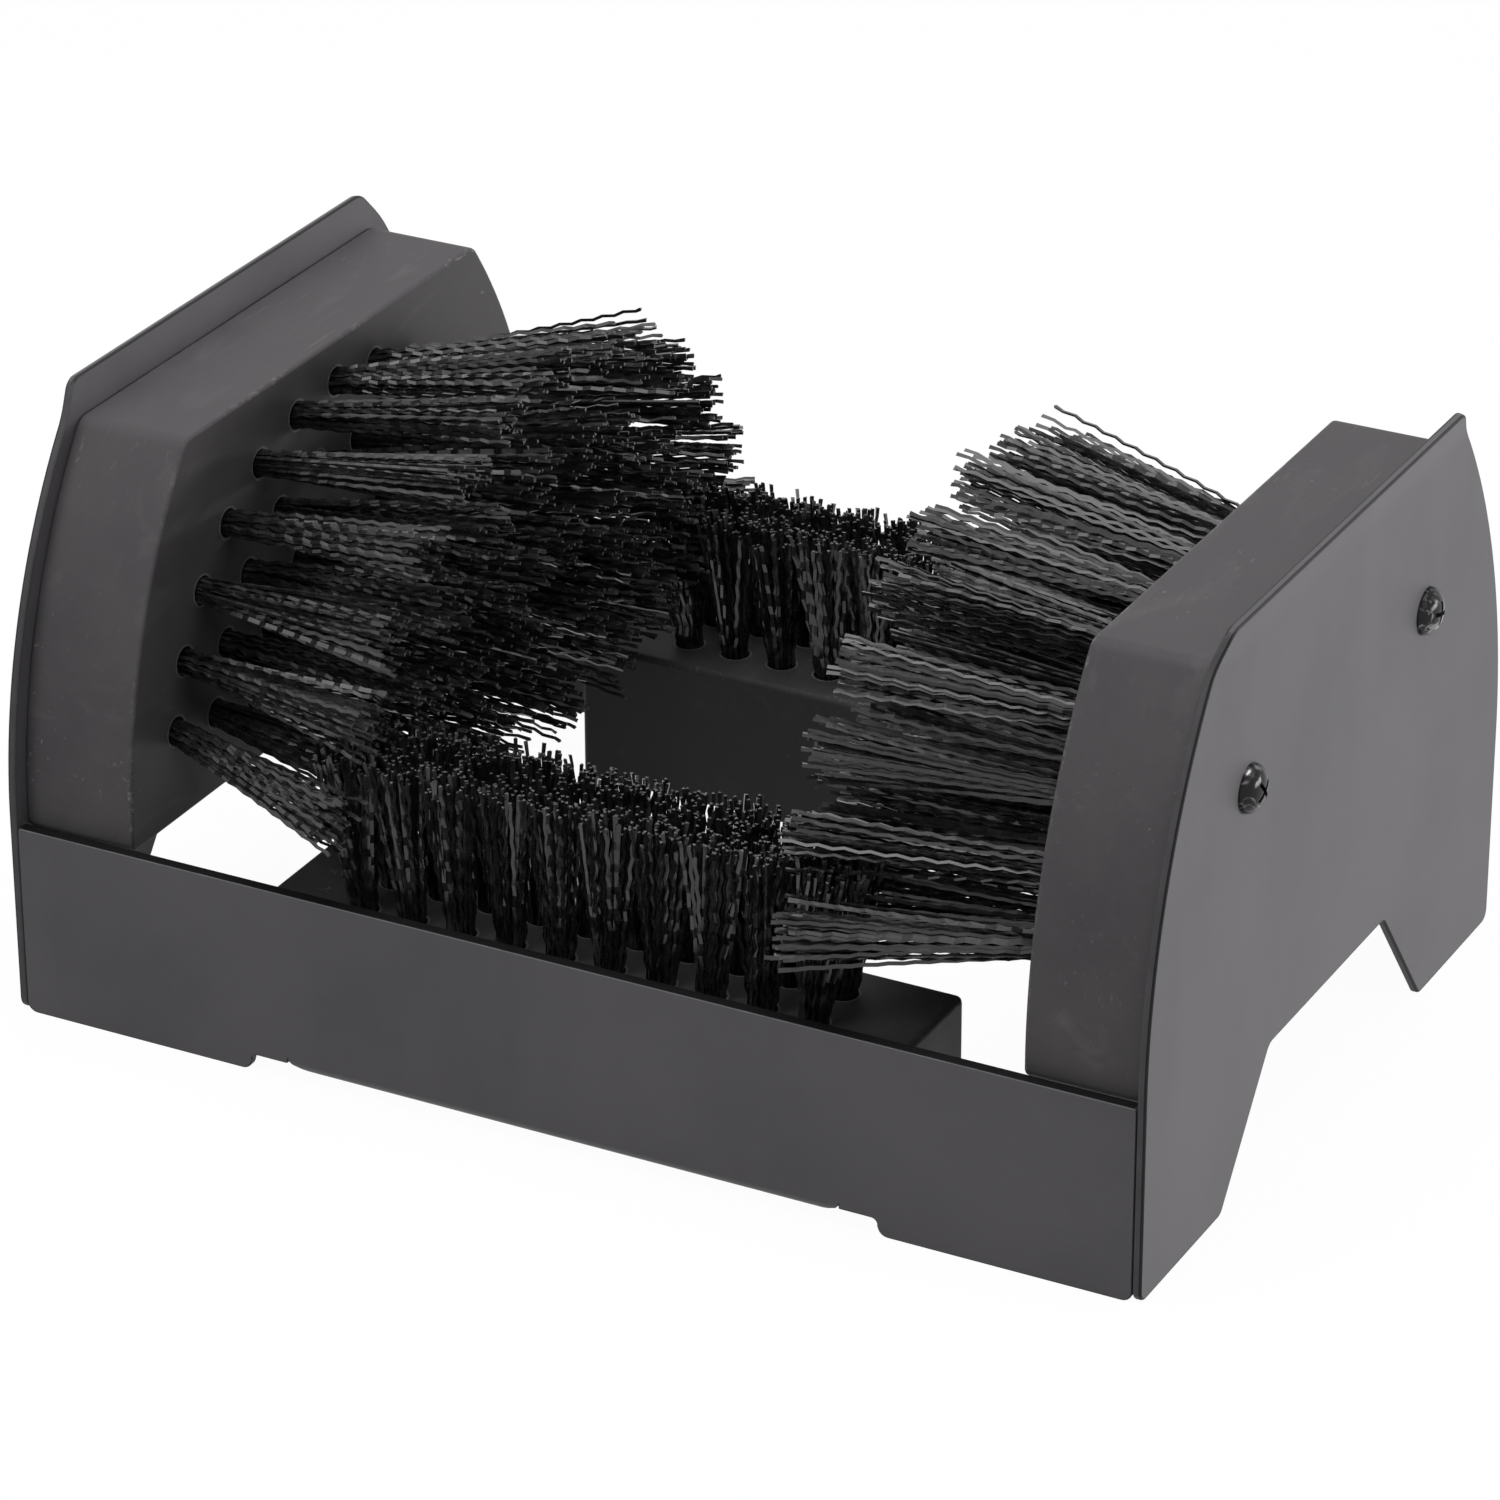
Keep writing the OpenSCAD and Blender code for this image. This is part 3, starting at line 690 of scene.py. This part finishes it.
def cut_away(bm, cutter, finishes):
    """Cuts one solid out of another. Both carry the finishes, so that each face keeps its own."""
    solid = bpy.data.objects.new("solid", bpy.data.meshes.new("solid"))
    drills = bpy.data.objects.new("drills", bpy.data.meshes.new("drills"))
    for source, target in ((bm, solid), (cutter, drills)):
        source.to_mesh(target.data)
        source.free()
        for finish in finishes:
            target.data.materials.append(finish)
        bpy.context.scene.collection.objects.link(target)
    cut = solid.modifiers.new("cut", "BOOLEAN")
    cut.operation = "DIFFERENCE"
    cut.solver = "EXACT"
    cut.object = drills
    bpy.context.view_layer.update()
    ready = solid.evaluated_get(bpy.context.evaluated_depsgraph_get())
    result = bmesh.new()
    result.from_mesh(ready.to_mesh())
    for used in (solid, drills):
        data = used.data
        bpy.data.objects.remove(used)
        bpy.data.meshes.remove(data)
    return result


def turned_drill():
    """A drill along +Z whose shoulder breaks the edge of the hole at z = 0, as a mesh to copy."""
    bm = bmesh.new()
    chain(bm, [(0, 0, HOLE_DEPTH), (HOLE_R, 0, HOLE_DEPTH), (HOLE_R, 0, HOLE_EDGE),
               (HOLE_R + 2 * HOLE_RING, 0, -HOLE_EDGE), (0, 0, -HOLE_EDGE)])
    full_turn(bm, (0, 0, 1), 20)
    # The shoulder's faces get the paler paint: a painted highlight on the hole rims.
    for face in bm.faces:
        if abs(face.calc_center_median().z) < 0.1 * HOLE_EDGE:
            face.material_index = ON_HOLE_RIM_HIGHLIGHT
    return mesh_of(bm, "drill")


def drilled(bm, points, inwards, finishes):
    """Drills round holes into a solid, from points on a face and in one direction."""
    drill = turned_drill()
    turn = Vector((0, 0, 1)).rotation_difference(Vector(inwards)).to_matrix().to_4x4()
    cutter = bmesh.new()
    for point in points:
        copy = drill.copy()
        copy.transform(Matrix.Translation(point) @ turn)
        cutter.from_mesh(copy)
        bpy.data.meshes.remove(copy)
    bpy.data.meshes.remove(drill)
    return cut_away(bm, cutter, finishes)


def end_block(side, name):
    low = block_low.z - BLOCK_DROP
    bm = bmesh.new()
    start, top = flank(bm, FLANK_START, LIP_Z, BLOCK_INSET)
    bottom = chain(bm, [(INNER_X, 0, low), (INNER_X, half_width(low, BLOCK_INSET), low)])
    bm.edges.new((bottom[-1], start))
    bm.edges.new((top, bm.verts.new((INNER_X, 0, LIP_Z))))
    fill_outline(bm)
    for sign in (-1, 1):
        for z in (low, LIP_Z):
            corner = (INNER_X, sign * half_width(z, BLOCK_INSET), z)
            round_corner_at(bm, corner, BLOCK_CORNER)
    front = bmesh.ops.extrude_face_region(bm, geom=bm.faces[:], use_keep_orig=True)["geom"]
    verts = [v for v in front if isinstance(v, bmesh.types.BMVert)]
    bmesh.ops.translate(bm, verts=verts, vec=(FACE_X - INNER_X, 0, 0))
    bmesh.ops.recalc_face_normals(bm, faces=bm.faces)
    rim = [e for e in bm.edges if all(abs(v.co.x - FACE_X) < SAME_PLACE for v in e.verts)]
    back = [e for e in bm.edges if all(abs(v.co.x - INNER_X) < SAME_PLACE for v in e.verts)]
    for face in round_edges(bm, rim, FRONT_EDGE_R):
        face.material_index = ON_ROUNDED
    round_edges(bm, back, BACK_EDGE_R, 2)
    holes = [Vector((FACE_X, y, z)) for arc in end_arcs for y, z in arc]
    bm = drilled(bm, holes, (1, 0, 0), end_paint)
    turned_to(bm, side)
    even_shading(finish_piece(bm, name + "_body", end_paint, [name]))


def floor_block(side, name):
    size = Vector((floor_high.x - floor_low.x, floor_high.y - floor_low.y,
                   FLOOR_TOP - floor_low.z))
    bm = bar(size, Vector((0, floor_middle_y, (FLOOR_TOP + floor_low.z) / 2)))
    for face in round_edges(bm, bm.edges[:], FLOOR_EDGE_R, 4):
        face.material_index = ON_ROUNDED
    holes = [Vector((x, y, FLOOR_TOP)) for x, y in floor_places]
    bm = drilled(bm, holes, (0, 0, -1), shaded_floor_paint)
    turned_to(bm, side)
    even_shading(finish_piece(bm, name + "_body", shaded_floor_paint, [name]))


end_block(-1, "left_end_block")
end_block(1, "right_end_block")
floor_block(-1, "front_floor_block")
floor_block(1, "rear_floor_block")

# %% [markdown]
# Brush filament is crimped: pressed into a small regular wave, which makes it springy and gives
# the rows of short glints along a tuft. One filament is drawn out bend by bend from a three-sided
# section. It is copied thousands of times, so it has only two bends a wave: a few dozen faces. A
# dozen different ones are enough for a brush, because each copy is turned and leant in its own
# way. The shears leave its end a little wider, and paler than its skin, so the end has a finish
# of its own.

# %% Crimped filaments
CRIMP_PITCH = 6.0 * MM
CRIMP_DEPTH = 0.27 * MM
LONG_FLANK = 0.58
FILAMENT_W = 1.02 * MM
FILAMENT_T = 0.66 * MM
SUNK = 5 * MM
SHEARED = 1.2
SWAY = 0.03
TRIANGLE_R = 2 / 3
SHORTER_BY = (0, 0.7, 1.5, 2.4, 3.2, 4.4, -1, 0.4, 1, 2, -0.5, 6)
dice = random.Random(11)


def bends(length, shift):
    """Heights of a filament's bends and the side that each goes to; the last is the cut end."""
    height, side = shift, 1
    while height < length - 1 * MM:
        yield height, side
        height += CRIMP_PITCH * (LONG_FLANK if side > 0 else 1 - LONG_FLANK)
        side = -side
    yield length, 0


def crimped_filament(length, shift, sway):
    """One filament along +Z, from SUNK below zero up to its length, as a mesh to copy from."""
    bm = bmesh.new()
    bmesh.ops.create_circle(bm, cap_ends=True, segments=3, radius=TRIANGLE_R)
    low_y = min(v.co.y for v in bm.verts)
    wide = 2 * max(v.co.x for v in bm.verts)
    section = (FILAMENT_W / wide, FILAMENT_T / (TRIANGLE_R - low_y), 1)
    bmesh.ops.scale(bm, verts=bm.verts, vec=section)
    bmesh.ops.rotate(bm, verts=bm.verts, cent=MIDDLE, matrix=Matrix.Rotation(math.pi / 2, 3, "Z"))
    bmesh.ops.translate(bm, verts=bm.verts, vec=(0, 0, -SUNK))
    ring = bm.edges[:]
    here = Vector((0, 0, -SUNK))
    for height, side in bends(length, shift):
        share = height / length
        there = Vector((CRIMP_DEPTH * side + sway.x * share ** 2, sway.y * share ** 2, height))
        grown = bmesh.ops.extrude_edge_only(bm, edges=ring)["geom"]
        verts = [v for v in grown if isinstance(v, bmesh.types.BMVert)]
        bmesh.ops.translate(bm, verts=verts, vec=there - here)
        ring = [e for e in grown if isinstance(e, bmesh.types.BMEdge)
                and all(v in verts for v in e.verts)]
        here = there
    bmesh.ops.scale(bm, verts=verts, vec=(SHEARED, SHEARED, 1), space=Matrix.Translation(-here))
    for face in bmesh.ops.contextual_create(bm, geom=ring)["faces"]:
        face.material_index = ON_END
    bmesh.ops.recalc_face_normals(bm, faces=bm.faces)
    return mesh_of(bm, "filament")


def filament_set(length, uneven=1.0):
    """Different filaments of about one length; most of them share the place of their bends."""
    made = []
    for i, shorter in enumerate(SHORTER_BY):
        sway = Vector((dice.uniform(-1, 1), dice.uniform(-1, 1), 0)) * length * SWAY
        shift = CRIMP_PITCH / 2 if i % 4 == 3 else 0.1 * MM
        made.append(crimped_filament(length - uneven * shorter * MM, shift, sway))
    print("a filament of", round(length / MM), "mm has", len(made[0].polygons), "faces")
    return made


# %% [markdown]
# A tuft is a bundle of such filaments. They stand close together in the hole and spread towards
# their tips, so each one leans away from the middle of its tuft. The places in the bundle follow a
# sunflower spiral, which fills a circle evenly. Most filaments of a tuft keep the same turn, as
# they were cut from one hank, and that lines up their glints.

# %% Tufts
GOLDEN = math.radians(137.508)
BUNDLE_R = 3.1 * MM
TUFT_TURN = 0.5
SMALL_TURN = 0.25
SAME_TURN_SHARE = 0.6


def bundle(count):
    """Places of the filaments round the middle of a tuft."""
    return [BUNDLE_R * math.sqrt((i + 0.5) / count)
            * Vector((math.cos(i * GOLDEN), math.sin(i * GOLDEN))) for i in range(count)]


def add_filament(bm, mesh, root, run, spin):
    """Copies a filament to its root, along a direction and turned about its own length."""
    turn = Vector((0, 0, 1)).rotation_difference(run).to_matrix().to_4x4()
    copy = mesh.copy()
    copy.transform(Matrix.Translation(root) @ turn @ Matrix.Rotation(spin, 4, "Z"))
    bm.from_mesh(copy)
    bpy.data.meshes.remove(copy)


def add_tuft(bm, kinds, count, scatter, facing, root_of, run_of):
    """One tuft; root_of and run_of say where a filament starts and which way it goes."""
    turn = facing + dice.gauss(0, TUFT_TURN)
    for offset in bundle(count):
        jitter = Vector((dice.gauss(0, 1), dice.gauss(0, 1))) * scatter
        if dice.random() < SAME_TURN_SHARE:
            spin = turn + dice.gauss(0, SMALL_TURN)
        else:
            spin = turn + dice.uniform(0, 2 * math.pi)
        add_filament(bm, dice.choice(kinds), root_of(offset), run_of(offset, jitter), spin)


# %% [markdown]
# The upright brushes fan out: a tuft near the rim leans outwards and upwards. The lowest tufts of
# the outer arc are pushed aside by the floor brushes and pass in front of them or behind them. No
# two brushes fan alike: in the photograph the right one leans less, most of all at its rear. One
# filament of the right brush strays from its tuft, as one does on every brush.

# %% The upright brushes
END_LENGTH = 66 * MM
FAN_Y = 0.23
FAN_Y_REAR = 0.17
FAN_Z = {-1: 0.22, 1: 0.14}
LEVEL_Z = 71 * MM
END_SPLAY = (1.2, 1.8, 2.1, 2.1)
END_SCATTER = 1.5 * MM
END_COUNT = 44
END_FACING = math.pi
LOW_TUFT_PUSH = 7 * MM
STRAY_TUFT = 8
STRAY_LEAN = Vector((7, 7.5)) * MM


def end_lean(side, y, z):
    """How far the tips of an end tuft lean away from straight, across and upwards."""
    return Vector(((FAN_Y_REAR if side > 0 and y > 0 else FAN_Y) * y, FAN_Z[side] * (z - LEVEL_Z)))


def end_brush(side, name):
    kinds = filament_set(END_LENGTH)
    for ring, arc in enumerate(end_arcs):
        bm = bmesh.new()
        for place, (y, z) in enumerate(arc):
            lean = end_lean(side, y, z)
            if ring == 0 and place in (0, len(arc) - 1):
                lean += Vector((math.copysign(LOW_TUFT_PUSH, y), 0))
            reach = math.sqrt(END_LENGTH ** 2 - lean.length_squared)

            def root_of(offset):
                return Vector((FACE_X, y + offset.x, z + offset.y))

            def run_of(offset, jitter):
                away = lean + offset * END_SPLAY[ring] + jitter
                return Vector((-reach, away.x, away.y))

            add_tuft(bm, kinds, END_COUNT, END_SCATTER, END_FACING, root_of, run_of)
        if side > 0 and ring == 0:
            y, z = arc[STRAY_TUFT]
            lean = end_lean(side, y, z) + STRAY_LEAN
            reach = math.sqrt(END_LENGTH ** 2 - lean.length_squared)
            root = Vector((FACE_X, y, z + BUNDLE_R))
            add_filament(bm, kinds[0], root, Vector((-reach, *lean)), 0)
        turned_to(bm, side)
        label = f"{name}_arc_{ring + 1}"
        finish_piece(bm, label, filament_finishes, [name], smooth_angle=0)


end_brush(-1, "left_end_bristles")
end_brush(1, "right_end_bristles")

# %% [markdown]
# The floor brushes stand up straight, and their tufts spread mostly along their row. Their tips
# are trimmed more evenly than those of the upright brushes, because a sole rests on them. In the
# photograph the rear brush is a little shorter than the front one.

# %% The floor brushes
FLOOR_LENGTH = {-1: 42 * MM, 1: 38.6 * MM}
FLOOR_FAN = 0.06
FLOOR_SPLAY = Vector((1.5, 0.9))
FLOOR_SCATTER = 1.3 * MM
FLOOR_COUNT = 68
FLOOR_UNEVEN = 0.8
FLOOR_FACING = 0.5


def floor_brush(side, name):
    kinds = filament_set(FLOOR_LENGTH[side], FLOOR_UNEVEN)
    bm = bmesh.new()
    for x, y in floor_places:
        lean = Vector((FLOOR_FAN * x, FLOOR_FAN * (y - floor_middle_y)))

        def root_of(offset):
            return Vector((x + offset.x, y + offset.y, FLOOR_TOP))

        def run_of(offset, jitter):
            away = lean + offset * FLOOR_SPLAY + jitter
            return Vector((away.x, away.y, FLOOR_LENGTH[side]))

        add_tuft(bm, kinds, FLOOR_COUNT, FLOOR_SCATTER, FLOOR_FACING, root_of, run_of)
    turned_to(bm, side)
    finish_piece(bm, name + "_tufts", filament_finishes, [name], smooth_angle=0)


floor_brush(-1, "front_floor_bristles")
floor_brush(1, "rear_floor_bristles")

# %% [markdown]
# A screw is a turned part: half of its profile is spun round its axis. The cross recess is cut
# last, with two wedges that narrow towards the bottom, as the punch that makes it does. Every
# screw is left at another turn, as a driver leaves it.

# %% The end screws
SCREW_Y = 52 * MM
SCREW_Z = 107 * MM
HEAD_R = 6 * MM
HEAD_H = 4 * MM
SHANK_R = 2.2 * MM
SCREW_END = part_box("right_end_screws")[0].x
PLATE_FACE = INNER_X + SHEET
DOME_STEPS = 8
DOME_FULLNESS = 0.85
POINT_L = 3 * MM
WING = Vector((3.1, 6.6, 1.25)) * MM
WING_ROOT = 0.42
WING_FLARE = 1.3


def turned_screw():
    """One screw along X, with its head on the plate and its axis at y = z = 0."""
    bm = bmesh.new()
    angles = [math.radians(90 * i / DOME_STEPS) for i in range(DOME_STEPS + 1)]
    dome = [(PLATE_FACE + HEAD_H * math.cos(a), 0, HEAD_R * math.sin(a) ** DOME_FULLNESS)
            for a in angles]
    stem = [(PLATE_FACE, 0, SHANK_R), (SCREW_END + POINT_L, 0, SHANK_R), (SCREW_END, 0, 0)]
    chain(bm, dome + stem)
    full_turn(bm, (1, 0, 0), 32)
    return bm


def wedge(turn):
    """One wing of the cross, narrower at its bottom, turned about the screw's axis."""
    bm = bmesh.new()
    bottom = PLATE_FACE + HEAD_H - WING.x
    bmesh.ops.create_cube(bm, size=1, matrix=Matrix.Diagonal((2 * WING.x, WING.y, WING.z, 1)))
    bmesh.ops.translate(bm, verts=bm.verts, vec=(bottom + WING.x, 0, 0))
    foot = [v for v in bm.verts if v.co.x < bottom + SAME_PLACE]
    bmesh.ops.scale(bm, verts=foot, vec=(1, WING_ROOT, WING_ROOT))
    top = [v for v in bm.verts if v not in foot]
    bmesh.ops.scale(bm, verts=top, vec=(1, 2 - WING_ROOT, WING_FLARE))
    bmesh.ops.rotate(bm, verts=bm.verts, cent=MIDDLE, matrix=Matrix.Rotation(turn, 3, "X"))
    return bm


def end_screws(side, name):
    pair = bmesh.new()
    for sign, turn in ((-1, 0.35 + side * 0.3), (1, 1.1 + side * 0.25)):
        screw = cut_away(turned_screw(), wedge(turn), (gloss,))
        screw = cut_away(screw, wedge(turn + math.pi / 2), (gloss,))
        bmesh.ops.translate(screw, verts=screw.verts, vec=(0, sign * SCREW_Y, SCREW_Z))
        one = mesh_of(screw, "one screw")
        pair.from_mesh(one)
        bpy.data.meshes.remove(one)
    turned_to(pair, side)
    finish_piece(pair, name + "_turned", (gloss,), [name])


end_screws(-1, "left_end_screws")
end_screws(1, "right_end_screws")

# %% [markdown]
# The pieces that are right as they were loaded only get their finish.

# %% Finishes of the loaded pieces
for node, material in (("corner_welds", coat),
                       ("left_end_staples", wire), ("right_end_staples", wire),
                       ("front_floor_staples", wire), ("rear_floor_staples", wire),
                       ("front_floor_screws", gloss), ("rear_floor_screws", gloss)):
    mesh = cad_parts[node].data
    mesh.materials.clear()
    mesh.materials.append(material)
    print(node, "is finished as", material.name)

# %% [markdown]
# The photograph was lit by large soft lamps, and its background is plain white. The world is white
# for the camera and for reflections, and much dimmer for everything else, so that it doesn't wash
# out the dark finishes. Large area lamps give the light on the object.

# %% World, floor and lamps
AMBIENT = 0.15
FLOOR_HALF = 4
FLOOR_GREY = (0.5, 0.5, 0.5)
FLOOR_GLOW = 1.07
GLOW_SHARE = 0.9
LAMPS = (
    # name, place in metres, width and height, watts
    ("right lamp", (0.98, 0.3, 0.2), (0.6, 0.2), 5.7),
    ("top lamp", (-0.1, 0.05, 1.65), (1.2, 1.2), 13.6),
    ("front lamp", (-0.9, -1.3, 1.15), (0.8, 0.8), 7.0),
    ("fill lamp", (0.85, -0.8, 1.2), (0.8, 0.8), 1.8),
)


def greater(tree, first, second):
    node = tree.nodes.new("ShaderNodeMath")
    node.operation = "MAXIMUM"
    tree.links.new(first, node.inputs[0])
    tree.links.new(second, node.inputs[1])
    return node.outputs[0]


def seen_by_eye(tree):
    """1 where the camera sees a surface, itself or by reflection or through glass, and else 0."""
    path = tree.nodes.new("ShaderNodeLightPath").outputs
    return greater(tree, greater(tree, path["Is Camera Ray"], path["Is Glossy Ray"]),
                   path["Is Transmission Ray"])


def white_world():
    world = bpy.data.worlds.new("white studio")
    bpy.context.scene.world = world
    world.use_nodes = True
    tree = world.node_tree
    background = tree.nodes["Background"]
    tree.links.new(spread(tree, seen_by_eye(tree), 0, 1, AMBIENT, 1.0),
                   background.inputs["Strength"])
    background.inputs["Color"].default_value = (1, 1, 1, 1)


def pale_floor():
    bm = bmesh.new()
    bmesh.ops.create_grid(bm, x_segments=1, y_segments=1, size=FLOOR_HALF)
    mesh = mesh_of(bm, "floor")
    floor = bpy.data.objects.new("floor", mesh)
    bpy.context.scene.collection.objects.link(floor)
    material, tree, shader = new_finish("pale floor", FLOOR_GREY, 0.9, specular=0.1)
    glow = tree.nodes.new("ShaderNodeEmission")
    glow.inputs["Strength"].default_value = FLOOR_GLOW
    mix = tree.nodes.new("ShaderNodeMixShader")
    tree.links.new(spread(tree, seen_by_eye(tree), 0, 1, 0.0, GLOW_SHARE), mix.inputs[0])
    tree.links.new(shader.outputs[0], mix.inputs[1])
    tree.links.new(glow.outputs[0], mix.inputs[2])
    tree.links.new(mix.outputs[0], tree.nodes["Material Output"].inputs["Surface"])
    mesh.materials.append(material)


def area_lamp(name, at, size, watts):
    data = bpy.data.lights.new(name, "AREA")
    data.shape = "RECTANGLE"
    data.size, data.size_y = size
    data.energy = watts
    lamp = bpy.data.objects.new(name, data)
    bpy.context.scene.collection.objects.link(lamp)
    lamp.location = at
    lamp.rotation_euler = (LOOK_AT - Vector(at)).to_track_quat("-Z", "Y").to_euler()


white_world()
pale_floor()
for lamp in LAMPS:
    area_lamp(*lamp)
print("lit by", [lamp[0] for lamp in LAMPS])

bpy.context.scene.view_settings.view_transform = "Standard"
